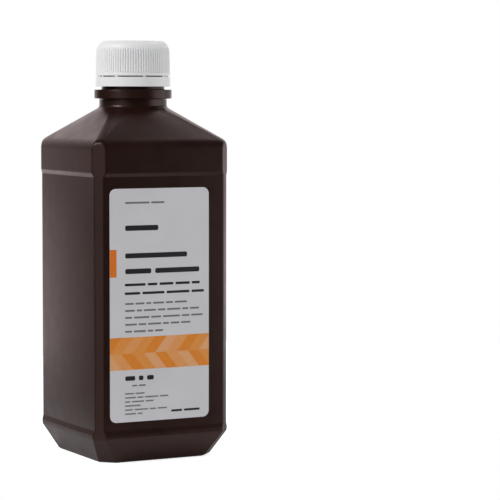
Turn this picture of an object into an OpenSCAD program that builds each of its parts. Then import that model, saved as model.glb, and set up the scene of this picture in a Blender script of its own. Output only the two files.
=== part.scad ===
// Square 16 fl oz screw-cap bottle with a tamper-evident band and a front label.
// Millimetres, +Z up. Origin: middle of the base. The label is on the -Y side.

/* [Body] */
// Width across two opposite sides, at their corners
body_w = 62.8; // [60:0.2:66]
// Length cut off each side at a corner by the vertical chamfer
corner_cut = 4.3; // [3.4:0.1:5.2]
// Thickness of the blown wall
wall = 0.9; // [0.7:0.05:1.2]
// Depth of the sunk panels on the four sides
panel_depth = 0.7; // [0.4:0.05:0.9]
// Middle height of the lower ledge of the panels
panel_low = 13.5; // [13:0.1:20]
// Middle height of the upper ledge of the panels
panel_high = 120.8; // [100:0.1:125]
// Height over which each ledge slants
ledge_h = 1.7; // [1:0.1:2.5]
// How far the middle of each side swells out
side_swell = 0.3; // [0:0.05:0.4]
// How far the middle of each sunk panel swells out beyond that
panel_swell = 0.35; // [0:0.05:0.4]

/* [Base] */
// Width across the base, where the bevel would meet the table
base_w = 51.8; // [48:0.2:54]
// Length cut off each side of the base at a corner
base_cut = 5.2; // [4.4:0.1:6]
// Height of the bevel above the table
bevel_h = 10.8; // [9:0.1:11.2]
// Rounding of the heel
heel_r = 1.6; // [1:0.1:2.5]
// Rise of the middle of the base above the table
push_up = 2; // [1:0.1:3]
// Width of the ring that the bottle stands on
stand_w = 2.4; // [2:0.1:4]

/* [Shoulder] */
// Height at which the slope of the shoulder would meet the sides
shoulder_z = 133.8; // [130:0.1:136]
// Rounding between the sides and the shoulder
shoulder_r = 6.2; // [4:0.1:8]
// Rounding between the shoulder and the neck
neck_fillet = 2.2; // [1:0.1:5]
// Width left on each side by the soft ridge that climbs from a corner
ridge_cut = 1.8; // [0.5:0.1:2.4]
// Softness of the arch where a corner chamfer runs out into the shoulder
arch_soft = 1.2; // [0.5:0.1:3.2]

/* [Neck] */
// Diameter of the neck below the support ring
neck_d = 28.8; // [28.4:0.1:30]
// Height at which the slope of the shoulder meets the neck
neck_z = 148.6; // [147:0.1:149]
// Diameter of the support ring
ring_d = 33; // [32.4:0.1:34]
// Height of the underside of the support ring
ring_z = 152.2; // [151.8:0.1:152.6]
// Thickness of the support ring
ring_h = 3.9; // [3:0.1:3.9]
// Diameter of the mouth
bore_d = 21.8; // [20:0.1:22.4]
// Diameter between the support ring and the catch bead
collar_d = 26.8; // [26:0.1:27]
// Diameter of the bead that holds the tamper band down
bead_d = 28.5; // [28:0.1:28.8]
// Diameter of the finish at the root of the thread
root_d = 25; // [24.4:0.1:25.4]
// Height of the rim of the mouth
rim_z = 174.4; // [174.1:0.1:174.4]

/* [Cap] */
// Outer diameter of the cap's skirt at its lower edge
cap_d = 31.8; // [31.4:0.1:32.2]
// Height of the top of the cap
cap_top = 176.8; // [176.7:0.1:177.4]
// Height of the lower edge of the cap
cap_low = 161.95; // [161.8:0.05:162.1]
// Number of grip ribs
ribs = 90; // [60:6:96]
// Height by which a rib stands out of the skirt
rib_depth = 0.4; // [0.2:0.05:0.5]
// Rounding of the cap's top edge
cap_edge_r = 3.4; // [2.6:0.1:3.6]
// Inner diameter of the skirt at the root of its thread
skirt_bore = 28.4; // [28.2:0.1:28.6]
// Thickness of the sealing disc inside the cap
liner_t = 1; // [0.8:0.05:1]

/* [Tamper band] */
// Height of the lower edge of the band
band_low = 157.4; // [157.4:0.05:157.6]
// Gap between the band and the cap, which the bridges cross
slit = 0.45; // [0.2:0.05:0.5]
// Number of bridges that snap at first opening
bridge_count = 8; // [6:1:12]
// Width of one bridge
bridge_w = 1.3; // [0.8:0.1:1.6]
// Angle of the first bridge
bridge_turn = 38; // [0:1:44]

/* [Label] */
// Width of the label
label_w = 45.8; // [40:0.2:48]
// Height of the label
label_h = 97.4; // [80:0.2:100]
// Sideways place of the label's middle
label_x = -2.3; // [-3:0.1:3]
// Height of the label's lower edge
label_z = 17.8; // [16:0.1:20]
// Rounding of the label's corners
label_r = 2.8; // [1:0.1:4]
// Thickness of the label
label_t = 0.13; // [0.08:0.01:0.2]

/* [Hidden] */
$fn = 96;

half = body_w / 2;
base_half = base_w / 2;
panel_half = half - panel_depth;
panel_foot = panel_low + ledge_h / 2;
panel_rise = panel_high - panel_low - ledge_h;
neck_r = neck_d / 2;
bore_r = bore_d / 2;
cap_r = cap_d / 2;

// Directions of travel along the body's profile, in degrees from straight outwards
out = 0;
up = 90;
bevel_rise = atan2(bevel_h, half - base_half);
slope = atan2(neck_z - shoulder_z, neck_r - half);

// The blown neck inside is wider than the mouth and narrows above the support ring
neck_wall = 2;
neck_core = neck_r - neck_wall;
// The skin ends inside the wall of the moulded neck, which takes over from here
skin_end = ring_z - 1;
skin_inset = 0.1;
outer_core = neck_r - skin_inset;
inner_core = neck_core + skin_inset;

// Shares of half a side at which its outline has a point
side_steps = [0, 0.3, 0.58, 0.82, 1];
// Pieces that the corner is divided into
corner_steps = 4;
// Shares of a panel's height at which its swell has a level
panel_steps = [0, 0.03, 0.09, 0.2, 0.35, 0.5, 0.65, 0.8, 0.91, 0.97, 1];

// Share of the turn from square to round over which the arch reaches its full softness
arch_share = 0.06;

// Clearances and thicknesses of the closure
break_gap = 0.03;
seal_gap = 0.03;
liner_r = skirt_bore / 2 - 0.9;
top_in = rim_z + 2 * seal_gap + liner_t;
collar_gap = 0.25;
band_bore = bead_d / 2 + 0.6;
rim_h = 1.35;
rib_top = cap_top - 2.7;

// ---- Body: one skin, drawn as levels from the base to the neck and back down inside ----

// Arc that rounds a corner of the profile; the line comes in at direction a and leaves at b
function rounded(corner, a, b, r, steps) =
    let (back = r * tan(abs(b - a) / 2), side = sign(b - a))
    [for (i = [0:steps])
        let (d = a + (b - a) * i / steps)
        corner - back * [cos(a), sin(a)] + side * r * [sin(d) - sin(a), cos(a) - cos(d)]];

// Corner of the profile moved inwards by w
function inset_corner(corner, a, b, w) =
    let (mean = (a + b) / 2)
    corner + w / cos((b - a) / 2) * [-sin(mean), cos(mean)];

// Where the slope of the shoulder, moved inwards by w, reaches the radius r
function on_slope(r, w) =
    let (start = inset_corner([half, shoulder_z], up, slope, w))
    [r, start.y + (r - start.x) * tan(slope)];

// Profile of the skin at depth w below the outside: [half-width, height] from base to neck
function profile(w, core, steps) =
    let (
        base_in = base_half - heel_r - stand_w,
        shoulder = inset_corner([half, shoulder_z], up, slope, w),
        collar = on_slope(core, w),
        last_bend = rounded(shoulder, up, slope, shoulder_r - w, 2 * steps)[2 * steps]
    )
    concat(
        [[base_in / 4, push_up + w], [base_in * 0.92, push_up * 0.65 + w], [base_in, w]],
        rounded(inset_corner([base_half, 0], out, bevel_rise, w), out, bevel_rise, heel_r - w / 2, steps),
        rounded(inset_corner([half, bevel_h], bevel_rise, up, w), bevel_rise, up, 3, steps - 1),
        [[half - w, panel_low - ledge_h / 2]],
        [for (k = panel_steps) [panel_half - w, panel_foot + k * panel_rise]],
        [[half - w, panel_high + ledge_h / 2]],
        rounded(shoulder, up, slope, shoulder_r - w, 2 * steps),
        [for (k = [0.3, 0.6, 0.85]) last_bend + k * (collar - last_bend)],
        w == 0 ? rounded(collar, slope, up, neck_fillet, steps + 2) : [collar],
        [[core, skin_end]]
    );

// Length that the corner cut takes off a side of half-width h at height z
function cut_at(h, z, w) =
    z > panel_low - ledge_h ? 2 * h - (body_w - corner_cut) + sqrt(2) * w
    : h + w > base_half - heel_r
        ? base_cut + (h + w - base_half) * (corner_cut - base_cut) / (half - base_half) - w / 2
        : base_cut * h / base_half;

// The larger of a and b, with a soft bend of width s where they cross
function soft_max(a, b, s) = (a + b + sqrt((a - b) * (a - b) + s * s)) / 2;

// Corner cut on the shoulder, where the outline has turned towards a circle by the share t:
// the vertical chamfer runs up into it and closes as an arch, and a soft ridge goes on
function shoulder_cut(t, core, w) =
    let (reach = body_w - corner_cut - sqrt(2) * w, soft = arch_soft * min(1, t / arch_share))
    t > 0.5 ? ridge_cut
    : soft_max(ridge_cut, 2 * (half - w) - (reach - sqrt(2) * t * core) / (1 - t), soft);

// How far the middle of a side stands out at height z
function swell_at(z) =
    let (share = min(1, max(0, (z - panel_foot) / panel_rise)))
    side_swell * min(1, z / bevel_h) + panel_swell * (1 - pow(2 * share - 1, 4));

// A point of a side of half-width h, at the share k of the way from its middle to the corner cut
function side_point(h, cut, swell, k) = [h + swell * (1 - k * k), k * (h - cut)];

// A quarter of a square outline of half-width h with its corner cut and its sides swollen
function quarter(h, cut, swell) = concat(
    [for (k = side_steps) side_point(h, cut, swell, k)],
    [for (i = [1:corner_steps - 1]) [h - cut * i / corner_steps, h - cut + cut * i / corner_steps]],
    [for (i = [len(side_steps) - 1:-1:1])
        let (p = side_point(h, cut, swell, side_steps[i])) [p.y, p.x]]);

// A closed level: the square outline, drawn towards a circle of radius r by the share t
function level(h, cut, r, t, z) =
    let (points = quarter(h, cut, swell_at(z)), n = len(points))
    [for (q = [0:3]) for (i = [0:n - 1])
        let (p = points[i], a = 90 * (q + i / n), c = cos(90 * q), s = sin(90 * q))
        [(1 - t) * (p.x * c - p.y * s) + t * r * cos(a), (1 - t) * (p.x * s + p.y * c) + t * r * sin(a), z]];

// The levels of the skin at depth w
function levels(w, core, steps) =
    [for (p = profile(w, core, steps))
        let (t = p.y < panel_high + ledge_h ? 0 : min(1, (half - w - p.x) / (half - w - core)))
        t <= 0 ? level(p.x, cut_at(p.x, p.y, w), core, 0, p.y)
        : level(half - w, shoulder_cut(t, core, w), core, t, p.y)];

function reversed(list) = [for (i = [len(list) - 1:-1:0]) list[i]];

// Closed solid through a list of levels with the same number of points; its first and last
// levels are closed by a fan around a point on the axis
module skin(rings) {
    n = len(rings[0]);
    last = (len(rings) - 1) * n;
    first_hub = last + n;
    last_hub = first_hub + 1;
    polyhedron(
        points = concat(
            [for (ring = rings) each ring],
            [[0, 0, rings[0][0].z], [0, 0, rings[len(rings) - 1][0].z]]),
        faces = concat(
            [for (j = [0:n - 1]) [j, (j + 1) % n, first_hub]],
            [for (i = [0:len(rings) - 2]) for (j = [0:n - 1])
                let (a = i * n + j, b = i * n + (j + 1) % n)
                each [[a, a + n, b + n], [a, b + n, b]]],
            [for (j = [0:n - 1]) [last + (j + 1) % n, last + j, last_hub]]
        ));
}

// The moulded neck: support ring, catch bead and the land that carries the thread
module neck_finish() {
    ring_r = ring_d / 2;
    collar_r = collar_d / 2;
    bead_r = bead_d / 2;
    root_r = root_d / 2;
    ring_top = ring_z + ring_h;
    bead_low = band_low + 2.3;
    soft = 0.35;
    rotate_extrude()
        polygon([
            [neck_core + 1.2, neck_z - 0.2], [neck_r, neck_z - 0.2], [neck_r, ring_z - soft],
            [neck_r + soft, ring_z], [ring_r - soft, ring_z], [ring_r, ring_z + soft],
            [ring_r, ring_top - soft], [ring_r - soft, ring_top], [collar_r, ring_top],
            [collar_r, bead_low - 0.2], [bead_r, bead_low], [bead_r, bead_low + 0.6],
            [root_r + 0.2, bead_low + 2], [root_r, bead_low + 2.4],
            [root_r, rim_z - 0.8], [root_r - 0.25, rim_z - 0.2], [root_r - 0.6, rim_z],
            [bore_r + soft, rim_z], [bore_r, rim_z - soft],
            [bore_r, ring_top + 0.6], [neck_core, ring_z + 0.4], [neck_core, neck_z + 1.3]
        ]);
}

module bottle() {
    color("#3a2a28") {
        skin(concat(levels(0, outer_core, 3), reversed(levels(wall, inner_core, 2))));
        neck_finish();
    }
}

// ---- Closure ----

// Skirt and top of the cap without its ribs
module cap_core() {
    foot_r = cap_r - rib_depth;
    head_r = cap_r - 0.75;
    rotate_extrude()
        polygon(concat(
            [[0, cap_low], [cap_r - 0.15, cap_low], [cap_r, cap_low + 0.2],
             [cap_r, cap_low + rim_h - 0.2], [cap_r - 0.15, cap_low + rim_h], [foot_r, cap_low + rim_h]],
            rounded([head_r, cap_top], up, 180, cap_edge_r, 8),
            [[0, cap_top]]));
}

// Envelope that trims the ribs: it leans in and bends over towards the top of the cap
module rib_envelope() {
    low = cap_low + rim_h - 0.2;
    rotate_extrude()
        polygon([
            [0, low], [cap_r - 0.1, low], [cap_r - 0.1, low + 0.4], [cap_r - 0.24, cap_top - 5.8],
            [cap_r - 0.42, cap_top - 3.9], [cap_r - 0.8, rib_top], [0, rib_top]
        ]);
}

// Round row of ribs, each a little narrower at its crest
module rib_row() {
    pitch = 360 / ribs;
    foot_angle = 0.31 * pitch;
    crest_angle = 0.21 * pitch;
    foot_r = cap_r - 3 * rib_depth;
    crest_r = cap_r + 0.1;
    translate([0, 0, cap_low + rim_h - 0.2])
        linear_extrude(rib_top - cap_low - rim_h + 0.2)
            polygon([for (i = [0:ribs - 1])
                each [for (p = [[foot_r, -foot_angle], [crest_r, -crest_angle],
                                [crest_r, crest_angle], [foot_r, foot_angle]])
                    p[0] * [cos(i * pitch + p[1]), sin(i * pitch + p[1])]]]);
}

// Space inside the cap: skirt, seat of the sealing disc and the bend between them
module cap_space() {
    skirt_r = skirt_bore / 2;
    rotate_extrude()
        polygon([
            [0, cap_low - 1], [skirt_r + 0.2, cap_low - 1], [skirt_r + 0.2, cap_low + 1],
            [skirt_r, cap_low + 1.4], [skirt_r, rim_z - 1.6], [liner_r + 0.25, rim_z - 0.6],
            [liner_r + 0.25, top_in - 0.2], [liner_r, top_in], [0, top_in]
        ]);
}

module cap() {
    color("#e8e8ea")
        difference() {
            union() {
                cap_core();
                intersection() {
                    rib_row();
                    rib_envelope();
                }
            }
            cap_space();
        }
}

// Frangible bridges, moulded on the lower edge of the cap
module bridges() {
    span = bridge_w / cap_r * 180 / PI;
    thick = 0.6;
    color("#dededf")
        for (i = [0:bridge_count - 1])
            rotate(bridge_turn + i * 360 / bridge_count - span / 2)
                rotate_extrude(angle = span)
                    translate([cap_r - 0.2 - thick, cap_low - slit + break_gap])
                        square([thick, slit - break_gap]);
}

// Band that stays on the neck: a thin ring with an inner lip under the catch bead
module tamper_band() {
    top = cap_low - slit;
    hook_r = collar_d / 2 + collar_gap;
    color("#e4e4e6")
        rotate_extrude()
            polygon([
                [band_bore, band_low + 0.3], [band_bore + 0.2, band_low], [cap_r - 0.1, band_low],
                [cap_r, band_low + 0.2], [cap_r, top - 0.15], [cap_r - 0.15, top], [band_bore, top],
                [band_bore, band_low + 2.4], [hook_r + 0.3, band_low + 1.7], [hook_r, band_low + 1.5],
                [hook_r, band_low + 1]
            ]);
}

// Sealing disc that the cap presses on the rim
module cap_liner() {
    color("#f4f3ee")
        translate([0, 0, rim_z + seal_gap])
            cylinder(r = liner_r, h = liner_t);
}

// ---- Label ----

// Row of points across the front panel at depth w and height z
function front_row(w, z) =
    let (h = panel_half - w, cut = cut_at(h, z, w), last = len(side_steps) - 1)
    [for (i = [-last:last])
        let (p = side_point(h, cut, swell_at(z), side_steps[abs(i)])) [sign(i) * p.y, -p.x, z]];

// Film that follows the whole front panel
module panel_film(thickness) {
    heights = [for (k = panel_steps) panel_foot + k * panel_rise];
    front = [for (z = heights) front_row(-thickness, z)];
    back = [for (z = heights) front_row(0, z)];
    n = len(front[0]);
    m = len(heights);
    behind = m * n;
    last = (m - 1) * n;
    polyhedron(
        points = concat([for (row = front) each row], [for (row = back) each row]),
        faces = concat(
            [for (i = [0:m - 2]) for (j = [0:n - 2])
                let (a = i * n + j, b = a + 1)
                each [[a, a + n, b + n], [a, b + n, b],
                      [behind + a, behind + b + n, behind + a + n],
                      [behind + a, behind + b, behind + b + n]]],
            [for (j = [0:n - 2])
                each [[j, j + 1, behind + j + 1, behind + j],
                      [last + j + 1, last + j, behind + last + j, behind + last + j + 1]]],
            [for (i = [0:m - 2])
                let (a = i * n, b = a + n - 1)
                each [[a + n, a, behind + a, behind + a + n],
                      [b, b + n, behind + b + n, behind + b]]]
        ));
}

module label_outline() {
    translate([label_r, 0])
        square([label_w - 2 * label_r, label_h]);
    translate([0, label_r])
        square([label_w, label_h - 2 * label_r]);
    for (x = [label_r, label_w - label_r], y = [label_r, label_h - label_r])
        translate([x, y])
            circle(label_r);
}

module front_label() {
    reach = 4;
    color("#d2d1d2")
        intersection() {
            panel_film(label_t);
            translate([label_x - label_w / 2, reach / 2 - half, label_z])
                rotate([90, 0, 0])
                    linear_extrude(reach)
                        label_outline();
        }
}

bottle();
cap();
bridges();
tamper_band();
cap_liner();
front_label();
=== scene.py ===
"""Square solution bottle with a ribbed screw cap, a tamper-evident band and a front label.

Lengths are in millimetres until a mesh is made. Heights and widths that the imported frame
gives are read from it; the rest are named below. The label is on the -Y side.
"""

import math

import bmesh
import bpy
from mathutils import Matrix, Vector


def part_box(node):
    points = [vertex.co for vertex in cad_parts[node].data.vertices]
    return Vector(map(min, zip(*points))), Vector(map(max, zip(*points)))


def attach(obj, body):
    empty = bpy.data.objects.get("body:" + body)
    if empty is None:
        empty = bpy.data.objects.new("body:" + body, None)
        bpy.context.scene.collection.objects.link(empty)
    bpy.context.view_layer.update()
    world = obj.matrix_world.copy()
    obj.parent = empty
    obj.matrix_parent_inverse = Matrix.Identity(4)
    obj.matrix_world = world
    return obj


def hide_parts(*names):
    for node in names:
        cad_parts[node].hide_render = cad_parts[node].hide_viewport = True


MM = 0.001
OUT, UP, INWARDS = 0.0, 90.0, 180.0

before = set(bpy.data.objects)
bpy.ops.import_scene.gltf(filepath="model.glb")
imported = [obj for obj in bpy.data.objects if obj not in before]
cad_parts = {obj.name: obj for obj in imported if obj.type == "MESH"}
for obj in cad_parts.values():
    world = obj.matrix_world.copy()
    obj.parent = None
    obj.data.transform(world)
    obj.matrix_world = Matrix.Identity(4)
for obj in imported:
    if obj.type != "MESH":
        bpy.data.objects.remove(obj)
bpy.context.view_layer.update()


def box_mm(node):
    """Lowest and highest corner of a CAD node, in millimetres."""
    low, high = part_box(node)
    return low / MM, high / MM


BOTTLE_HIGH = box_mm("bottle")[1]
CAP_BOX_LOW, CAP_BOX_HIGH = box_mm("cap")
BAND_LOW, BAND_HIGH = box_mm("tamper_band")
LINER_LOW, LINER_HIGH = box_mm("cap_liner")
LABEL_LOW, LABEL_HIGH = box_mm("front_label")

# Body: half-widths, heights above the table, and what the corners' chamfers take off a side
SIDE_SWELL, PANEL_SWELL = 0.3, 0.35
HALF = BOTTLE_HIGH.x - SIDE_SWELL
CORNER_CUT = 4.3
WALL = 0.9
PANEL_DEPTH = 0.7
PANEL_LOW, PANEL_HIGH, LEDGE_H = 13.5, 120.8, 1.7
BASE_HALF, BASE_CUT, BEVEL_H = 25.9, 5.2, 10.8
HEEL_R, PUSH_UP, STAND_W = 1.6, 2.0, 2.4
SHOULDER_Z, SHOULDER_R, RIDGE_CUT = 133.8, 6.2, 1.8
# The shares are parts of the way from the square body to the round neck
ARCH_SOFT, ARCH_SHARE, RIDGE_SHARE = 1.2, 0.06, 0.1
EDGE_R, RIDGE_R = 1.0, 2.8
LEDGE_R = 1.1

# Neck
NECK_R, NECK_Z, NECK_FILLET = 14.4, 148.6, 2.2
RING_R, RING_Z, RING_H = 16.5, 152.2, 3.9
COLLAR_R, BEAD_R, ROOT_R, BORE_R = 13.4, 14.25, 12.5, 10.9
NECK_CORE = 12.4
NECK_JOIN_Z, CORE_JOIN_Z = 150.8, 150.4
BEAD_Z, BEAD_H = BAND_LOW.z + 2.3, 0.6
RIM_Z, RIM_SLANT = BOTTLE_HIGH.z, 0.5
SOFT = 0.35

# Screw thread: one start, right-hand, six turns an inch
PITCH = 4.2333
THREAD_CREST_R, CAP_THREAD_R = 13.75, 12.95
THREAD_TURNS, CAP_THREAD_TURNS = 1.75, 1.9
THREAD_START = 163.9
THREAD_FADE = 0.09

# Closure
CAP_R = CAP_BOX_HIGH.x
CAP_TOP, CAP_LOW = CAP_BOX_HIGH.z, CAP_BOX_LOW.z
RIBS = 90
RIB_DEPTH = 0.4
RIM_H = 1.35
CAP_EDGE_R = 3.4
CAP_LEAN = 0.75
SKIRT_R = 14.2
LINER_R = LINER_HIGH.x
BRIDGES, BRIDGE_W, BRIDGE_TURN = 8, 1.3, 38.0

# Label
PANEL_HALF = HALF - PANEL_DEPTH
LABEL_R = 2.8
LABEL_T = 0.13
LABEL_W = LABEL_HIGH.x - LABEL_LOW.x
PRINT_T = 0.015
PRINT_SPAN = (LABEL_T - PRINT_T, LABEL_T + PRINT_T)


# ---- Outlines and profiles ----

def heading(deg):
    """Unit vector of a direction given in degrees."""
    a = math.radians(deg)
    return Vector((math.cos(a), math.sin(a)))


def rounded(corner, a, b, radius, steps):
    """Arc that rounds a profile's corner; the line comes in at direction a and leaves at b."""
    side = 1 if b > a else -1
    back = radius * math.tan(math.radians(abs(b - a)) / 2)
    points = []
    for i in range(steps + 1):
        d = a + (b - a) * i / steps
        turn = heading(d - 90) - heading(a - 90)
        points.append(Vector(corner) - back * heading(a) + side * radius * turn)
    return points


def softened(points, radius, steps=4):
    """The open line through points with each inner corner rounded."""
    line = [Vector(points[0])]
    for before, corner, after in zip(points, points[1:], points[2:]):
        come, leave = Vector(corner) - Vector(before), Vector(after) - Vector(corner)
        a = math.degrees(math.atan2(come.y, come.x))
        b = math.degrees(math.atan2(leave.y, leave.x))
        turn = (b - a + 180) % 360 - 180
        line += rounded(corner, a, a + turn, radius, steps)
    return line + [Vector(points[-1])]


def between(a, b, count):
    """Points that divide the way from a to b, without its ends."""
    a, b = Vector(a), Vector(b)
    return [a.lerp(b, i / (count + 1)) for i in range(1, count + 1)]


def inset_corner(corner, a, b, w):
    """A profile's corner moved in by w, between lines of the directions a and b."""
    mean = math.radians((a + b) / 2)
    reach = w / math.cos(math.radians((b - a) / 2))
    return Vector(corner) + reach * Vector((-math.sin(mean), math.cos(mean)))


BEVEL_RISE = math.degrees(math.atan2(BEVEL_H, HALF - BASE_HALF))
SLOPE = math.degrees(math.atan2(NECK_Z - SHOULDER_Z, NECK_R - HALF))


def body_profile(w, core):
    """(half-width, height) of the skin at depth w, from the middle of the base to the neck."""
    base_in = BASE_HALF - HEEL_R - STAND_W
    shoulder = inset_corner((HALF, SHOULDER_Z), UP, SLOPE, w)
    collar = Vector((core, shoulder.y + (core - shoulder.x) * math.tan(math.radians(SLOPE))))
    dome = [(s * base_in, PUSH_UP * math.sqrt(1 - s ** 6) + w)
            for s in (0.08, 0.3, 0.5, 0.7, 0.82, 0.9, 0.95, 0.98, 0.995)]
    heel = rounded(inset_corner((BASE_HALF, 0), OUT, BEVEL_RISE, w), OUT, BEVEL_RISE,
                   HEEL_R - w / 2, 8)
    bend = rounded(inset_corner((HALF, BEVEL_H), BEVEL_RISE, UP, w), BEVEL_RISE, UP, 3, 8)
    arc = rounded(shoulder, UP, SLOPE, SHOULDER_R - w, 24)
    ledges = [(HALF - w, PANEL_LOW - LEDGE_H / 2), (PANEL_HALF - w, PANEL_LOW + LEDGE_H / 2),
              (PANEL_HALF - w, PANEL_HIGH - LEDGE_H / 2), (HALF - w, PANEL_HIGH + LEDGE_H / 2)]
    wall_line = softened([bend[-1]] + ledges + [arc[0]], LEDGE_R)[1:-1]
    lower, upper = wall_line[:len(wall_line) // 2], wall_line[len(wall_line) // 2:]
    fillet = rounded(collar, SLOPE, UP, NECK_FILLET, 8)
    return ([Vector(p) for p in dome] + [Vector((base_in, w))] + heel
            + between(heel[-1], bend[0], 5) + bend
            + lower + between(lower[-1], upper[0], 22) + upper
            + between(upper[-1], arc[0], 4) + arc
            + between(arc[-1], fillet[0], 14) + fillet)


def cut_at(h, z, w):
    """Length that the corner chamfer takes off a side of half-width h at height z."""
    if z > PANEL_LOW - LEDGE_H:
        return 2 * h - (2 * HALF - CORNER_CUT) + math.sqrt(2) * w
    if h + w > BASE_HALF - HEEL_R:
        share = (h + w - BASE_HALF) / (HALF - BASE_HALF)
        return BASE_CUT + share * (CORNER_CUT - BASE_CUT) - w / 2
    return BASE_CUT * h / BASE_HALF


def soft_max(a, b, s):
    """The larger of two values, rounded over where they are close."""
    return (a + b + math.sqrt((a - b) ** 2 + s * s)) / 2


def shoulder_cut(t, core, w):
    """Chamfer on the shoulder, where it closes as an arch and a soft ridge goes on."""
    if t > 0.5:
        return RIDGE_CUT
    reach = 2 * HALF - CORNER_CUT - math.sqrt(2) * w
    arch = 2 * (HALF - w) - (reach - math.sqrt(2) * t * core) / (1 - t)
    return soft_max(RIDGE_CUT, arch, ARCH_SOFT * min(1, t / ARCH_SHARE))


def swell_at(z):
    """How far the middle of a side stands out at height z."""
    share = (z - PANEL_LOW - LEDGE_H / 2) / (PANEL_HIGH - PANEL_LOW - LEDGE_H)
    share = min(1, max(0, share))
    return SIDE_SWELL * min(1, z / BEVEL_H) + PANEL_SWELL * (1 - (2 * share - 1) ** 4)


def panel_front(x, z):
    """Depth (y) of the front panel's swollen surface."""
    side = PANEL_HALF - cut_at(PANEL_HALF, z, 0)
    return -PANEL_HALF - swell_at(z) * (1 - (x / side) ** 2)


SIDE_SHARES = [0, 0.12, 0.25, 0.38, 0.5, 0.62, 0.73, 0.83, 0.91, 0.97, 1]
ARC_STEPS = 5
FACET_STEPS = 3


def side_angle(share):
    """Direction on the circle, in degrees, of a place along half a side."""
    return 30 * (1.3 - math.sqrt(1.69 - 1.2 * share)) / 0.6


def eighth(h, cut, swell, edge_r):
    """[(x, y, direction on the circle)] from the middle of a side to the diagonal."""
    side, facet = h - cut, cut * math.sqrt(2)
    lead = min(edge_r * math.tan(math.radians(22.5)), 0.45 * facet, 0.45 * side)
    radius = lead / math.tan(math.radians(22.5))
    places = [(h + swell * (1 - share ** 2), share * (side - lead),
               side_angle(share * (side - lead) / side)) for share in SIDE_SHARES]
    for p, j in zip(rounded((h, side), UP, 135, radius, ARC_STEPS)[1:], range(1, ARC_STEPS + 1)):
        s = lead * (2 * j / ARC_STEPS - 1)
        angle = side_angle((side + s) / side) if s < 0 else 30 + 30 * s / facet
        places.append((p.x, p.y, angle))
    for j in range(1, FACET_STEPS + 1):
        s = lead + (facet / 2 - lead) * j / FACET_STEPS
        places.append((h - s / math.sqrt(2), side + s / math.sqrt(2), 30 + 30 * s / facet))
    return places


def level(h, cut, core, t, z):
    """A closed level: the square outline, drawn towards a circle by the share t."""
    edge_r = EDGE_R + (RIDGE_R - EDGE_R) * min(1, t / RIDGE_SHARE)
    first = eighth(h, cut, swell_at(z), edge_r)
    quarter = first + [(y, x, 90 - a) for x, y, a in reversed(first[1:-1])]
    ring = []
    for q in range(4):
        c, s = (1, 0, -1, 0)[q], (0, 1, 0, -1)[q]
        for x, y, a in quarter:
            d = heading(90 * q + a)
            ring.append(Vector(((1 - t) * (x * c - y * s) + t * core * d.x,
                                (1 - t) * (x * s + y * c) + t * core * d.y, z)))
    return ring


def body_levels(w, core):
    """Levels of the skin at depth w; above the panels they go over to a circle of radius core."""
    rings = []
    for p in body_profile(w, core):
        t = 0
        if p.y > PANEL_HIGH + LEDGE_H:
            t = min(1, max(0, (HALF - w - p.x) / (HALF - w - core)))
        if t <= 0:
            rings.append(level(p.x, cut_at(p.x, p.y, w), core, 0, p.y))
        else:
            rings.append(level(HALF - w, shoulder_cut(t, core, w), core, t, p.y))
    return rings


def ridge(angle, z, start, turns, crest, root):
    """Height, from 0 to 1, of a single-start right-hand thread at a direction and height."""
    best = 0
    for turn in range(math.ceil(turns) + 1):
        run = angle / 360 + turn
        if 0 <= run <= turns:
            off = abs(z - start - PITCH * run)
            rise = min(1, max(0, (root - off) / (root - crest)))
            ends = min(1, run / THREAD_FADE, (turns - run) / THREAD_FADE)
            best = max(best, rise * rise * (3 - 2 * rise) * ends)
    return best


# ---- Meshes ----

def make_piece(name, body, replaced, materials, bm, smooth=True):
    """Makes the object of a bmesh drawn in millimetres, and sets it on its body."""
    bmesh.ops.scale(bm, vec=(MM, MM, MM), verts=bm.verts)
    mesh = bpy.data.meshes.new(name)
    bm.to_mesh(mesh)
    bm.free()
    for face in mesh.polygons:
        face.use_smooth = smooth
    for material in materials:
        mesh.materials.append(material)
    piece = bpy.data.objects.new(name, mesh)
    bpy.context.scene.collection.objects.link(piece)
    if smooth:
        normals = piece.modifiers.new("even shading", "WEIGHTED_NORMAL")
        normals.keep_sharp = True
    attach(piece, body)
    if replaced:
        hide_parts(*replaced)
    return piece


def skin_mesh(rings, poles=True):
    """Surface through closed rings of the same count, from its first ring to its last.

    With poles, a point on the axis closes each end; without, the last ring meets the first.
    """
    bm = bmesh.new()
    rows = [[bm.verts.new(p) for p in ring] for ring in rings]
    count = len(rows[0])
    pairs = list(zip(rows, rows[1:]))
    if not poles:
        pairs.append((rows[-1], rows[0]))
    for low, high in pairs:
        for j in range(count):
            k = (j + 1) % count
            bm.faces.new((low[j], low[k], high[k], high[j]))
    if poles:
        for row, flip in ((rows[0], True), (rows[-1], False)):
            hub = bm.verts.new((0, 0, row[0].co.z))
            for j in range(count):
                k = (j + 1) % count
                bm.faces.new((row[k], row[j], hub) if flip else (row[j], row[k], hub))
    bmesh.ops.recalc_face_normals(bm, faces=bm.faces)
    return bm


def turned(profile, angles, shape=None):
    """Rings of a turned form; shape(r, z, angle) may move a point in or out."""
    rings = []
    for r, z in profile:
        reaches = [shape(r, z, a) if shape else r for a in angles]
        rings.append([Vector((*(heading(a) * reach), z)) for a, reach in zip(angles, reaches)])
    return rings


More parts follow.
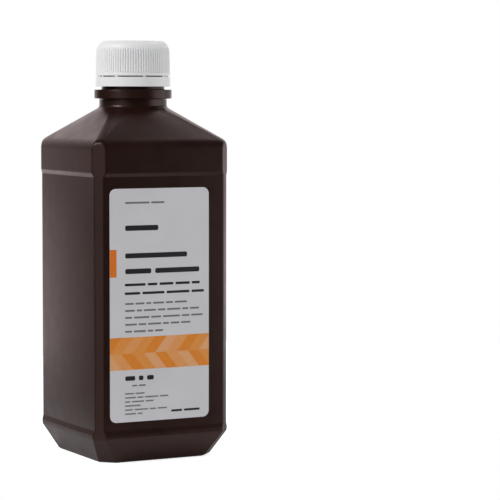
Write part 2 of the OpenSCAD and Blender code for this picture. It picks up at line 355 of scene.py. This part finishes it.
def neck_outside():
    """(radius, height) from the shoulder's fillet over the finish to the edge of the bore."""
    top = RING_Z + RING_H
    line = softened([(NECK_R, NECK_JOIN_Z), (NECK_R, RING_Z), (RING_R, RING_Z), (RING_R, top),
                     (COLLAR_R, top), (COLLAR_R, BEAD_Z - 0.2)], SOFT, 3)
    line += softened([(COLLAR_R, BEAD_Z - 0.2), (BEAD_R, BEAD_Z), (BEAD_R, BEAD_Z + BEAD_H),
                      (ROOT_R + 0.2, BEAD_Z + 2), (ROOT_R, BEAD_Z + 2.4)], 0.15, 2)[1:]
    return line


def neck_rim():
    """(radius, height) from the top of the thread over the rim and down the bore."""
    return softened([(ROOT_R, RIM_Z - 1.2), (ROOT_R, RIM_Z - RIM_SLANT),
                     (ROOT_R - RIM_SLANT, RIM_Z), (BORE_R, RIM_Z),
                     (BORE_R, RING_Z + RING_H + 0.6), (NECK_CORE, RING_Z + 0.4),
                     (NECK_CORE, CORE_JOIN_Z)], 0.3, 3)


def neck_thread_radius(r, z, angle):
    """Radius of the neck between bead and rim, with its thread."""
    rise = ridge(angle, z, THREAD_START, THREAD_TURNS, 0.45, 1.25)
    return r + (THREAD_CREST_R - ROOT_R) * rise


def build_bottle(material):
    """The blown body and its moulded neck as one continuous skin, hollow inside."""
    outside = body_levels(0, NECK_R)
    inside = body_levels(WALL, NECK_CORE)
    angles = [math.degrees(math.atan2(p.y, p.x)) % 360 for p in outside[-1]]
    rows = 46
    low, high = neck_outside()[-1][1] + 0.1, RIM_Z - 1.3
    land = [(ROOT_R, low + (high - low) * i / rows) for i in range(rows + 1)]
    rings = (outside + turned(neck_outside(), angles)
             + turned(land, angles, neck_thread_radius)
             + turned(neck_rim(), angles) + inside[::-1])
    return make_piece("bottle_body", "bottle", ["bottle"], [material],
                      skin_mesh(rings))


# Section of one grip rib: (share of the pitch from its middle, share of its height)
RIB_STATIONS = ((-0.42, 0), (-0.32, 0.1), (-0.26, 0.85), (-0.14, 1),
                (0.14, 1), (0.26, 0.85), (0.32, 0.1), (0.42, 0))
# Gate mark in the middle of the cap: (radius, depth below the top)
GATE = ((0.15, 0.2), (0.55, 0.22), (0.7, 0.42), (1.5, 0.42), (1.8, 0.3), (2.1, 0.06))
TOP_RADII = (2.4, 3.2, 5, 7, 9, 11)
TOP_SLOPE = 0.002


def core_radius(z):
    """Radius of the skirt between its ribs."""
    share = (z - CAP_LOW - RIM_H) / (CAP_TOP - CAP_EDGE_R - CAP_LOW - RIM_H)
    return CAP_R - RIB_DEPTH + share * (RIB_DEPTH - CAP_LEAN)


def crest_radius(z):
    """Radius over the ribs, which lean in and bend over towards the top."""
    knots = ((CAP_LOW + RIM_H, CAP_R - 0.1), (CAP_TOP - 5.8, CAP_R - 0.22),
             (CAP_TOP - 3.9, CAP_R - 0.36), (CAP_TOP - 3.2, CAP_R - 0.48),
             (CAP_TOP - 2.7, CAP_R - 0.84))
    for (z0, r0), (z1, r1) in zip(knots, knots[1:]):
        if z <= z1:
            return r0 + (r1 - r0) * (z - z0) / (z1 - z0)
    return 0


def cap_profile():
    """(radius, height, kind) of the cap from the middle of its top round to the inside."""
    gate = [(r, CAP_TOP - depth) for r, depth in GATE]
    top = [(r, CAP_TOP - TOP_SLOPE * (11.75 - r)) for r in TOP_RADII]
    edge = rounded((CAP_R - CAP_LEAN, CAP_TOP), UP, INWARDS, CAP_EDGE_R, 16)[::-1]
    line = [(r, z, "plain") for r, z in gate + top] + [(p.x, p.y, "rib") for p in edge]
    rib_low = CAP_LOW + RIM_H
    rows = 26
    for i in range(1, rows + 1):
        z = edge[-1].y + (rib_low + 0.1 - edge[-1].y) * i / rows
        line.append((core_radius(z), z, "rib"))
    line += [(p.x, p.y, "plain") for p in softened(
        [(CAP_R - 0.45, rib_low + 0.02), (CAP_R, rib_low - 0.05), (CAP_R, CAP_LOW),
         (SKIRT_R + 0.2, CAP_LOW), (SKIRT_R + 0.2, CAP_LOW + 1), (SKIRT_R, CAP_LOW + 1.4)],
        0.16, 3)]
    rows = 40
    low, high = CAP_LOW + 1.5, RIM_Z - 1.6
    line += [(SKIRT_R, low + (high - low) * i / rows, "thread") for i in range(rows + 1)]
    seat = LINER_HIGH.z + 0.03
    line += [(p.x, p.y, "plain") for p in softened(
        [(SKIRT_R, high + 0.1), (LINER_R + 0.25, RIM_Z - 0.6), (LINER_R + 0.25, seat),
         (LINER_R - 3, seat)], 0.2, 3)]
    return line + [(6, seat, "plain"), (1, seat, "plain")]


def cap_thread_radius(z, angle):
    """Radius inside the skirt, with the thread that runs between the turns of the neck's."""
    rise = ridge(angle % 360, z, THREAD_START - 0.5 * PITCH, CAP_THREAD_TURNS, 0.4, 1.2)
    return SKIRT_R - (SKIRT_R - CAP_THREAD_R) * rise


def build_cap(material):
    """The cap with its grip ribs outside and its thread and sealing seat inside."""
    pitch = 360 / RIBS
    columns = [(i * pitch + pitch * share, rib) for i in range(RIBS) for share, rib in RIB_STATIONS]
    rings = []
    for r, z, kind in cap_profile():
        ring = []
        for angle, rib in columns:
            reach = r
            if kind == "rib":
                reach += max(0, crest_radius(z) - r) * rib
            if kind == "thread":
                reach = cap_thread_radius(z, angle)
            ring.append(Vector((*(heading(angle) * reach), z)))
        rings.append(ring)
    return make_piece("cap_shell", "closure", ["cap"], [material], skin_mesh(rings))


def build_bridges(material):
    """Small waisted webs across the slit, moulded on the cap."""
    bm = bmesh.new()
    low, high = BAND_HIGH.z + 0.02, CAP_LOW + 0.12
    outer, thick = CAP_R - 0.22, 0.55
    for i in range(BRIDGES):
        turn = BRIDGE_TURN + i * 360 / BRIDGES
        rows = []
        for share, width in ((0, 1), (0.25, 0.86), (0.5, 0.82), (0.75, 0.9), (1, 1.15)):
            z = low + (high - low) * share
            half_turn = math.degrees(BRIDGE_W * width / CAP_R) / 2
            corners = [(outer, -1), (outer, -0.4), (outer, 0.4), (outer, 1),
                       (outer - thick, 0.9), (outer - thick, -0.9)]
            rows.append([bm.verts.new((*(heading(turn + s * half_turn) * r), z))
                         for r, s in corners])
        for a, b in zip(rows, rows[1:]):
            for j in range(len(a)):
                k = (j + 1) % len(a)
                bm.faces.new((a[j], a[k], b[k], b[j]))
        bm.faces.new(rows[0][::-1])
        bm.faces.new(rows[-1])
    bmesh.ops.recalc_face_normals(bm, faces=bm.faces)
    return make_piece("break_bridges", "closure", ["bridges"], [material], bm, False)


def build_band(material):
    """The ring that stays on the neck, with its lip folded in under the bead."""
    low, top = BAND_LOW.z, BAND_HIGH.z
    bore, hook = BEAD_R + 0.6, COLLAR_R + 0.25
    corners = [(bore, low + 0.25), (bore + 0.2, low), (CAP_R, low), (CAP_R, top), (bore, top),
               (bore, low + 2.4), (hook + 0.3, low + 1.75), (hook, low + 1.5), (hook, low + 1),
               (bore, low + 0.25), (bore + 0.2, low)]
    profile = softened(corners, 0.12, 3)[1:-1]
    angles = [360 * i / 240 for i in range(240)]
    return make_piece("tamper_ring", "band", ["tamper_band"], [material],
                      skin_mesh(turned(profile[:-4], angles), poles=False))


def build_liner(material):
    """The foam disc that seals the rim."""
    low, high = LINER_LOW.z, LINER_HIGH.z
    line = softened([(2, low), (LINER_R, low), (LINER_R, high), (2, high)], 0.25, 4)
    line = [Vector((0.5, low))] + between((1, low), (LINER_R - 1, low), 6) + line[1:-1] + \
        between((LINER_R - 1, high), (1, high), 6) + [Vector((0.5, high))]
    angles = [360 * i / 144 for i in range(144)]
    return make_piece("seal_disc", "disc", ["cap_liner"], [material],
                      skin_mesh(turned(line, angles)))


# ---- Label and its plain print ----

GRID_X, GRID_Z = 2.5, 4.0
SHARP = math.radians(30)


def sheet_slab(bm, outline, low, high, index=0):
    """A flat slab between two heights over the panel; outline is [(x, z)] from the front."""
    front = [bm.verts.new((x, -high, z)) for x, z in outline]
    back = [bm.verts.new((x, -low, z)) for x, z in outline]
    faces = [bm.faces.new(front), bm.faces.new(back[::-1])]
    for j in range(len(front)):
        k = (j + 1) % len(front)
        faces.append(bm.faces.new((front[k], front[j], back[j], back[k])))
    for face in faces:
        face.material_index = index


def laid_on_panel(bm):
    """Divides flat slabs along one common grid and bends them onto the swollen panel."""
    spans = ((0, LABEL_LOW.x, LABEL_HIGH.x, GRID_X), (2, LABEL_LOW.z, LABEL_HIGH.z, GRID_Z))
    for axis, low, high, step in spans:
        for i in range(1, math.ceil((high - low) / step)):
            place, normal = [0, 0, 0], [0, 0, 0]
            place[axis], normal[axis] = low + i * step, 1
            bmesh.ops.bisect_plane(bm, geom=bm.verts[:] + bm.edges[:] + bm.faces[:],
                                   plane_co=place, plane_no=normal)
    for vert in bm.verts:
        vert.co.y += panel_front(vert.co.x, vert.co.z)
    bmesh.ops.recalc_face_normals(bm, faces=bm.faces)
    for edge in bm.edges:
        edge.smooth = edge.calc_face_angle(0) < SHARP


def round_box(x0, z0, x1, z1, radius, steps=8):
    """Outline of a box with rounded corners, from its lower left corner anticlockwise."""
    centres = ((x0 + radius, z0 + radius, 180), (x1 - radius, z0 + radius, 270),
               (x1 - radius, z1 - radius, 0), (x0 + radius, z1 - radius, 90))
    points = []
    for x, z, start in centres:
        for i in range(steps + 1):
            d = heading(start + 90 * i / steps)
            points.append((x + radius * d.x, z + radius * d.y))
    return points


def build_label(material):
    """The film on the front panel."""
    bm = bmesh.new()
    outline = round_box(LABEL_LOW.x, LABEL_LOW.z, LABEL_HIGH.x, LABEL_HIGH.z, LABEL_R, 12)
    sheet_slab(bm, outline, 0, LABEL_T)
    laid_on_panel(bm)
    return make_piece("label_film", "bottle", ["front_label"], [material], bm)


def on_label(u, v):
    """Place on the label from its upper left corner, in millimetres."""
    return LABEL_LOW.x + u, LABEL_HIGH.z - v


# Plain bars that stand for lines of print: (from, to, middle height, thickness, words, ink)
PRINT_LINES = (
    (7.0, 24.9, 5.9, 0.8, 2, "grey"),
    (6.9, 22.0, 16.4, 2.2, 1, "dark"),
    (6.9, 35.4, 27.9, 2.1, 1, "dark"),
    (6.9, 41.2, 34.4, 2.1, 2, "dark"),
    (6.7, 41.4, 40.0, 1.05, 5, "dark"),
    (6.7, 43.4, 43.6, 1.05, 4, "dark"),
    (6.8, 35.3, 47.9, 0.8, 6, "grey"),
    (6.8, 41.0, 50.8, 0.8, 7, "grey"),
    (6.8, 42.8, 53.7, 0.8, 6, "grey"),
    (6.8, 36.9, 56.6, 0.8, 6, "grey"),
    (6.8, 24.1, 59.5, 0.8, 4, "grey"),
    (6.8, 19.8, 79.1, 1.9, 3, "dark"),
    (10.0, 16.1, 82.2, 0.7, 2, "grey"),
    (6.7, 15.6, 85.5, 0.6, 2, "grey"),
    (6.7, 26.6, 87.2, 0.6, 4, "grey"),
    (6.7, 19.7, 88.9, 0.6, 3, "grey"),
    (6.7, 13.8, 90.6, 0.6, 1, "grey"),
    (6.7, 25.9, 92.3, 0.6, 4, "grey"),
    (6.7, 14.7, 94.0, 0.6, 2, "grey"),
    (28.0, 41.4, 93.8, 0.9, 2, "dark"),
)
WORD_LENGTHS = (1.0, 0.55, 1.25, 0.8, 1.4, 0.65, 0.95)
INKS = {"dark": 0, "grey": 1}


def build_print(materials):
    """Bars of print, each line divided into a few bars of unlike lengths."""
    bm = bmesh.new()
    for number, (u0, u1, v, thick, words, ink) in enumerate(PRINT_LINES):
        gap = 0.75 * thick + 0.25
        parts = [WORD_LENGTHS[(number + i) % len(WORD_LENGTHS)] for i in range(words)]
        unit = (u1 - u0 - gap * (words - 1)) / sum(parts)
        start = u0
        for part in parts:
            x0, z1 = on_label(start, v - thick / 2)
            x1, z0 = on_label(start + part * unit, v + thick / 2)
            outline = round_box(x0, z0, x1, z1, 0.3 * thick, 4)
            sheet_slab(bm, outline, *PRINT_SPAN, INKS[ink])
            start += part * unit + gap
    laid_on_panel(bm)
    return make_piece("print_bars", "bottle", [], materials, bm)


def clipped(outline, x_low, x_high):
    """The part of a convex outline between two upright lines."""
    for limit, keep in ((x_low, 1), (x_high, -1)):
        kept = []
        for (xa, za), (xb, zb) in zip(outline, outline[1:] + outline[:1]):
            if keep * (xa - limit) >= 0:
                kept.append((xa, za))
            if (xa - limit) * (xb - limit) < 0:
                share = (limit - xa) / (xb - xa)
                kept.append((limit, za + share * (zb - za)))
        outline = kept
    return outline


BAND_TOP, BAND_BOTTOM = 61.9, 75.5
STRIPE_W, STRIPE_LEAN = 5.1, 5.4
STRIPE_TINTS = (2, 0, 1, 3, 1, 0, 2, 3, 0, 1, 2, 0, 3)
TAB = (0.0, 25.2, 3.0, 36.7)
TAB_TINT = 4


def build_colour_band(materials):
    """A band of plain chevrons across the label, and the tab at its edge."""
    bm = bmesh.new()
    left, right = LABEL_LOW.x, LABEL_HIGH.x
    middle = (BAND_TOP + BAND_BOTTOM) / 2
    for row, (v_far, v_near) in enumerate(((BAND_TOP, middle), (middle, BAND_BOTTOM))):
        far_lean, near_lean = (STRIPE_LEAN, 0) if row == 0 else (0, STRIPE_LEAN)
        for i in range(-2, math.ceil(LABEL_W / STRIPE_W) + 1):
            tint = STRIPE_TINTS[(i + 2 + 5 * row) % len(STRIPE_TINTS)]
            x, z_far = on_label(i * STRIPE_W, v_far)
            z_near = on_label(0, v_near)[1]
            outline = clipped([(x + near_lean, z_near), (x + near_lean + STRIPE_W, z_near),
                               (x + far_lean + STRIPE_W, z_far), (x + far_lean, z_far)],
                              left, right)
            if len(outline) > 2:
                sheet_slab(bm, outline, *PRINT_SPAN, tint)
    x0, z1 = on_label(TAB[0], TAB[1])
    x1, z0 = on_label(TAB[2], TAB[3])
    sheet_slab(bm, [(x0, z0), (x1, z0), (x1, z1), (x0, z1)], *PRINT_SPAN, TAB_TINT)
    laid_on_panel(bm)
    return make_piece("colour_band", "bottle", [], materials, bm)


# ---- Materials ----

MAP_SOCKETS = ("From Min", "From Max", "To Min", "To Max")
NOISE_RANGE = (0.35, 0.65)


class Nodes:
    """Short way to write a material's nodes."""

    def __init__(self, name):
        self.material = bpy.data.materials.new(name)
        self.material.use_nodes = True
        self.tree = self.material.node_tree
        self.shader = self.tree.nodes["Principled BSDF"]
        self.place = self.add("ShaderNodeTexCoord").outputs["Object"]

    def add(self, kind):
        return self.tree.nodes.new(kind)

    def link(self, source, target):
        self.tree.links.new(source, target)

    def stretched(self, scale):
        """The object's own coordinates, scaled on each axis."""
        node = self.add("ShaderNodeMapping")
        self.link(self.place, node.inputs["Vector"])
        node.inputs["Scale"].default_value = scale
        return node.outputs["Vector"]

    def noise(self, scale, detail, place=None):
        """A noise texture's value, from about 0.35 to 0.65."""
        node = self.add("ShaderNodeTexNoise")
        self.link(place or self.place, node.inputs["Vector"])
        node.inputs["Scale"].default_value = scale
        node.inputs["Detail"].default_value = detail
        return node.outputs["Fac"]

    def spread(self, value, low, high):
        """A noise's usual range brought to the one from low to high."""
        node = self.add("ShaderNodeMapRange")
        self.link(value, node.inputs["Value"])
        for key, number in zip(MAP_SOCKETS, (*NOISE_RANGE, low, high)):
            node.inputs[key].default_value = number
        return node.outputs["Result"]

    def colours(self, value, first, second, span=NOISE_RANGE):
        """A blend from the first colour to the second over a span of the value."""
        node = self.add("ShaderNodeValToRGB")
        self.link(value, node.inputs["Fac"])
        ramp = node.color_ramp.elements
        ramp[0].position, ramp[1].position = span
        ramp[0].color, ramp[1].color = (*first, 1), (*second, 1)
        return node.outputs["Color"]

    def bumps(self, layers):
        """layers: (height, distance in metres, strength), the coarsest first."""
        normal = None
        for height, distance, strength in layers:
            node = self.add("ShaderNodeBump")
            self.link(height, node.inputs["Height"])
            node.inputs["Distance"].default_value = distance
            node.inputs["Strength"].default_value = strength
            if normal:
                self.link(normal, node.inputs["Normal"])
            normal = node.outputs["Normal"]
        self.link(normal, self.shader.inputs["Normal"])

    def set(self, **values):
        """Sets the shader's even values, with _ for the spaces in a socket's name."""
        for key, value in values.items():
            self.shader.inputs[key.replace("_", " ")].default_value = value


def brown_polyethylene():
    """Satin blown polyethylene: fine grain, faint upright die lines, soft waves in the wall."""
    n = Nodes("brown_polyethylene")
    n.link(n.colours(n.noise(45, 4), (0.0160, 0.0056, 0.0038), (0.0206, 0.0074, 0.0050)),
           n.shader.inputs["Base Color"])
    n.link(n.spread(n.noise(160, 5), 0.29, 0.35), n.shader.inputs["Roughness"])
    waves = n.noise(16, 1)
    die_lines = n.noise(420, 3, n.stretched((1, 1, 0.02)))
    grain = n.noise(2600, 3)
    n.bumps([(waves, 0.0006, 0.12), (die_lines, 0.00003, 0.2), (grain, 0.00003, 0.3)])
    n.set(IOR=1.5, Specular_Tint=(1, 0.73, 0.7, 1))
    return n.material


def white_polypropylene():
    """Moulded cap plastic: nearly even, with a little flow cloudiness and a satin grain."""
    n = Nodes("white_polypropylene")
    n.link(n.colours(n.noise(70, 4), (0.835, 0.84, 0.85), (0.875, 0.875, 0.88)),
           n.shader.inputs["Base Color"])
    n.link(n.spread(n.noise(220, 4), 0.34, 0.42), n.shader.inputs["Roughness"])
    n.bumps([(n.noise(90, 2), 0.0001, 0.3), (n.noise(3000, 2), 0.00004, 0.3)])
    n.set(IOR=1.49)
    return n.material


def foam_liner():
    """Closed-cell polyethylene foam with a finely pitted face, and painted shade darkening each
    pit.
    """
    n = Nodes("foam_liner")
    cells = n.add("ShaderNodeTexVoronoi")
    n.link(n.place, cells.inputs["Vector"])
    cells.inputs["Scale"].default_value = 2800
    # Painted shade: the colour darkens towards the middle of each cell, where the pits sink.
    n.link(n.colours(cells.outputs["Distance"], (0.66, 0.65, 0.61), (0.82, 0.81, 0.77), (0.0, 0.5)),
           n.shader.inputs["Base Color"])
    n.link(n.spread(n.noise(900, 3), 0.72, 0.85), n.shader.inputs["Roughness"])
    n.bumps([(cells.outputs["Distance"], 0.00008, 0.6)])
    return n.material


def label_stock():
    """White label film, with the faint waves of a sheet pressed on a blown panel."""
    n = Nodes("label_stock")
    n.link(n.colours(n.noise(60, 5), (0.64, 0.632, 0.661), (0.67, 0.662, 0.689)),
           n.shader.inputs["Base Color"])
    n.link(n.spread(n.noise(300, 4), 0.42, 0.52), n.shader.inputs["Roughness"])
    n.bumps([(n.noise(35, 2), 0.0002, 0.3), (n.noise(2200, 3), 0.00002, 0.3)])
    return n.material


def ink(name, colour, darker=0.86):
    """Flat printing ink with a slight mottle."""
    n = Nodes(name)
    shade = tuple(darker * c for c in colour)
    n.link(n.colours(n.noise(700, 4), shade, colour), n.shader.inputs["Base Color"])
    n.link(n.spread(n.noise(400, 3), 0.42, 0.52), n.shader.inputs["Roughness"])
    n.bumps([(n.noise(1800, 3), 0.00002, 0.25)])
    return n.material


# ---- Stage: floor, light and camera ----

def light_path_white(tree, shown, plain_output, target):
    """What the camera sees directly is white by the share shown; other rays see plain."""
    path = tree.nodes.new("ShaderNodeLightPath")
    mix = tree.nodes.new("ShaderNodeMixShader")
    tree.links.new(path.outputs["Is Camera Ray"], mix.inputs["Fac"])
    tree.links.new(plain_output, mix.inputs[1])
    tree.links.new(shown, mix.inputs[2])
    tree.links.new(mix.outputs["Shader"], target)


# Metres; the floor lies a hair below the ring that the bottle stands on
FLOOR_HALVES = (0.24, 0.19)
FLOOR_CORNER = 0.05
FLOOR_MIDDLE = (0.148, 0.151, -0.00005)
FLOOR_TURN = math.radians(10)
FLOOR_GLOW = 0.75


def build_floor():
    """A pale table top; towards the camera it reads as white, with the shadow kept."""
    bm = bmesh.new()
    across, along = FLOOR_HALVES
    outline = round_box(-across, -along, across, along, FLOOR_CORNER)
    bm.faces.new([bm.verts.new((x, y, 0)) for x, y in outline])
    mesh = bpy.data.meshes.new("floor")
    bm.to_mesh(mesh)
    bm.free()
    floor = bpy.data.objects.new("floor", mesh)
    floor.location = FLOOR_MIDDLE
    floor.rotation_euler.z = FLOOR_TURN
    bpy.context.scene.collection.objects.link(floor)
    material = bpy.data.materials.new("floor")
    material.use_nodes = True
    tree = material.node_tree
    tree.nodes.clear()
    out = tree.nodes.new("ShaderNodeOutputMaterial")
    plain = tree.nodes.new("ShaderNodeBsdfDiffuse")
    plain.inputs["Color"].default_value = (0.88, 0.88, 0.89, 1)
    glow = tree.nodes.new("ShaderNodeEmission")
    glow.inputs["Color"].default_value = (1, 1, 1, 1)
    glow.inputs["Strength"].default_value = FLOOR_GLOW
    both = tree.nodes.new("ShaderNodeAddShader")
    tree.links.new(plain.outputs[0], both.inputs[0])
    tree.links.new(glow.outputs[0], both.inputs[1])
    light_path_white(tree, both.outputs[0], plain.outputs[0], out.inputs["Surface"])
    mesh.materials.append(material)


WORLD_LEVEL = 0.48
# Brightness of the room in mirror rays, by how far a ray heads behind the object
ROOM_BACK = (0.4, 0.917, 0)
ROOM_LEVELS = ((0.2, 0.025), (0.54, 0.03), (0.62, 0.05), (0.69, 0.3), (0.75, 0.95), (0.86, 1.4))
ROOM_WARMTH = (1, 0.88, 0.88)
# Its change with height: (from, to, share at from, share at to), added up
ROOM_BELOW = (-0.16, -0.02, 1.3, 0)
ROOM_ABOVE = (0.0, 0.45, 0.6, 0.95)


def build_world():
    """Even light; mirror rays see a bright backdrop behind and a dim room in front."""
    world = bpy.data.worlds.new("studio")
    bpy.context.scene.world = world
    world.use_nodes = True
    tree = world.node_tree
    tree.nodes.clear()
    out = tree.nodes.new("ShaderNodeOutputWorld")
    path = tree.nodes.new("ShaderNodeLightPath")

    def background(strength):
        node = tree.nodes.new("ShaderNodeBackground")
        node.inputs["Color"].default_value = (1, 1, 1, 1)
        node.inputs["Strength"].default_value = strength
        return node

    def map_range(value, numbers):
        node = tree.nodes.new("ShaderNodeMapRange")
        node.interpolation_type = "SMOOTHSTEP"
        tree.links.new(value, node.inputs["Value"])
        for key, number in zip(MAP_SOCKETS, numbers):
            node.inputs[key].default_value = number
        return node.outputs["Result"]

    coordinates = tree.nodes.new("ShaderNodeTexCoord")
    direction = tree.nodes.new("ShaderNodeSeparateXYZ")
    tree.links.new(coordinates.outputs["Generated"], direction.inputs[0])
    towards = tree.nodes.new("ShaderNodeVectorMath")
    towards.operation = "DOT_PRODUCT"
    tree.links.new(coordinates.outputs["Generated"], towards.inputs[0])
    towards.inputs[1].default_value = ROOM_BACK
    behind = tree.nodes.new("ShaderNodeValToRGB")
    tree.links.new(towards.outputs["Value"], behind.inputs["Fac"])
    stops = behind.color_ramp.elements
    while len(stops) < len(ROOM_LEVELS):
        stops.new(1)
    for stop, (place, strength) in zip(stops, ROOM_LEVELS):
        stop.position = place
        stop.color = (*(strength * tint for tint in ROOM_WARMTH), 1)
    lift = tree.nodes.new("ShaderNodeMath")
    lift.operation = "ADD"
    for socket, numbers in zip(lift.inputs, (ROOM_BELOW, ROOM_ABOVE)):
        tree.links.new(map_range(direction.outputs["Z"], numbers), socket)
    room = background(1)
    tree.links.new(behind.outputs["Color"], room.inputs["Color"])
    tree.links.new(lift.outputs[0], room.inputs["Strength"])
    even = background(WORLD_LEVEL)
    shown = background(1)
    mirror = tree.nodes.new("ShaderNodeMath")
    mirror.operation = "MAXIMUM"
    tree.links.new(path.outputs["Is Glossy Ray"], mirror.inputs[0])
    tree.links.new(path.outputs["Is Transmission Ray"], mirror.inputs[1])
    first = tree.nodes.new("ShaderNodeMixShader")
    tree.links.new(mirror.outputs[0], first.inputs["Fac"])
    tree.links.new(even.outputs[0], first.inputs[1])
    tree.links.new(room.outputs[0], first.inputs[2])
    last = tree.nodes.new("ShaderNodeMixShader")
    tree.links.new(path.outputs["Is Camera Ray"], last.inputs["Fac"])
    tree.links.new(first.outputs[0], last.inputs[1])
    tree.links.new(shown.outputs[0], last.inputs[2])
    tree.links.new(last.outputs[0], out.inputs["Surface"])


def direction_of(azimuth, elevation):
    """From the object towards a place; azimuth 0 is in front of the label, 90 on the right."""
    a, e = math.radians(azimuth), math.radians(elevation)
    return Vector((math.sin(a) * math.cos(e), -math.cos(a) * math.cos(e), math.sin(e)))


# (name, azimuth, elevation, distance, width, height, power), metres and watts
LAMPS = (
    ("left_key", -84, 33, 1.1, 0.38, 0.56, 5.9),
    ("left_fill", -64, -2, 1.2, 0.58, 1.0, 1.0),
    ("right_softbox", 62, -2, 1.2, 1.05, 0.9, 3.9),
    ("right_fill", 99, -2, 1.2, 0.56, 0.9, 0.85),
    ("top_softbox", 100, 50, 1.2, 0.4, 0.4, 1.5),
    ("ledge_light", 28, -48, 1.2, 0.5, 0.5, 0.85),
)


def aim(thing, towards):
    """Turns a lamp so that it shines on a place."""
    thing.rotation_euler = (thing.location - towards).to_track_quat("Z", "Y").to_euler()


def build_lamps():
    """Keys on the left, softboxes on the right, and a weak low light for the panel's ledge."""
    middle = Vector((0, 0, 0.09))
    for name, azimuth, elevation, distance, width, height, power in LAMPS:
        data = bpy.data.lights.new(name, "AREA")
        data.shape = "RECTANGLE"
        data.size, data.size_y = width, height
        data.energy = power
        lamp = bpy.data.objects.new(name, data)
        lamp.location = middle + distance * direction_of(azimuth, elevation)
        aim(lamp, middle)
        bpy.context.scene.collection.objects.link(lamp)


# Fitted to the bottle's edges in the photo
CAMERA_AZIMUTH, CAMERA_ELEVATION, CAMERA_ROLL = -28.019, 4.100, 0.091
CAMERA_DISTANCE = 0.963799
CAMERA_ASIDE, CAMERA_HEIGHT = 0.050202, 0.087307
SENSOR_W = 36.0
FOCAL_PER_WIDTH = 2239.208 / 500


def build_camera():
    """The camera looks level with the lower neck, to one side of the bottle's axis."""
    data = bpy.data.cameras.new("camera")
    data.sensor_width = SENSOR_W
    data.lens = SENSOR_W * FOCAL_PER_WIDTH
    data.clip_start, data.clip_end = 0.05, 20
    camera = bpy.data.objects.new("camera", data)
    a = math.radians(CAMERA_AZIMUTH)
    right = Vector((math.cos(a), math.sin(a), 0))
    back = direction_of(CAMERA_AZIMUTH, CAMERA_ELEVATION)
    target = Vector((0, 0, CAMERA_HEIGHT)) + CAMERA_ASIDE * right
    turn = Matrix((right, back.cross(right), back)).transposed()
    camera.matrix_world = (Matrix.Translation(target + CAMERA_DISTANCE * back)
                           @ turn.to_4x4() @ Matrix.Rotation(math.radians(CAMERA_ROLL), 4, "Z"))
    bpy.context.scene.collection.objects.link(camera)
    bpy.context.scene.camera = camera
    bpy.context.scene.view_settings.view_transform = "Standard"


build_camera()
build_world()
build_lamps()
build_floor()

brown = brown_polyethylene()
white = white_polypropylene()
build_bottle(brown)
build_cap(white)
build_bridges(white)
build_band(white)
build_liner(foam_liner())
build_label(label_stock())
build_print([ink("dark_ink", (0.015, 0.013, 0.016)), ink("grey_ink", (0.2, 0.19, 0.205))])
build_colour_band([ink("orange_ink", (0.80, 0.243, 0.008), 0.94),
                   ink("mid_orange_ink", (0.81, 0.297, 0.045), 0.94),
                   ink("pale_orange_ink", (0.81, 0.385, 0.165), 0.95),
                   ink("soft_orange_ink", (0.81, 0.335, 0.092), 0.95),
                   ink("tab_orange_ink", (0.79, 0.18, 0.001), 0.94)])
